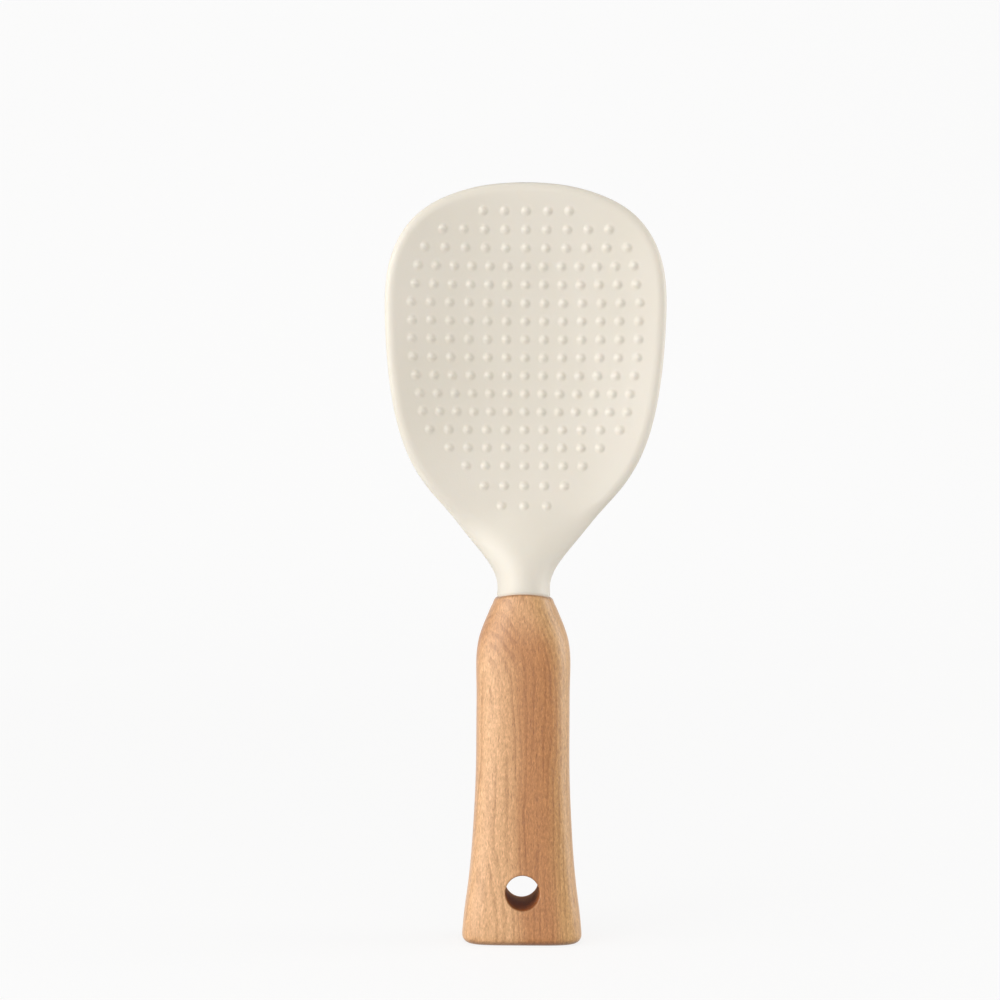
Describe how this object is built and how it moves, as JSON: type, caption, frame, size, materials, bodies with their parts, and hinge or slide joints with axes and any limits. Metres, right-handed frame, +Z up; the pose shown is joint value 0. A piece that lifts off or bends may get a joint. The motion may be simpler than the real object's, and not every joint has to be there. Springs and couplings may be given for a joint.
{
  "type": "rice paddle",
  "caption": "Standing rice paddle with a dished silicone head over a stiff core and a beech handle with a hanging hole.",
  "frame": {"origin": "centre of the flat foot that the paddle stands on", "axes": "+Z up along the handle to the tip of the blade, -Y the dished front, +X to the right seen from the front"},
  "size_m": [0.0818, 0.0244, 0.2204],
  "materials": {
    "silicone": "satin",
    "beech": "satin",
    "nylon": "matte",
    "glue": "matte"
  },
  "bodies": {
    "root": {"silicone_head": "silicone", "head_core": "nylon", "handle": "beech", "tang_glue": "glue"}
  },
  "joints": []
}
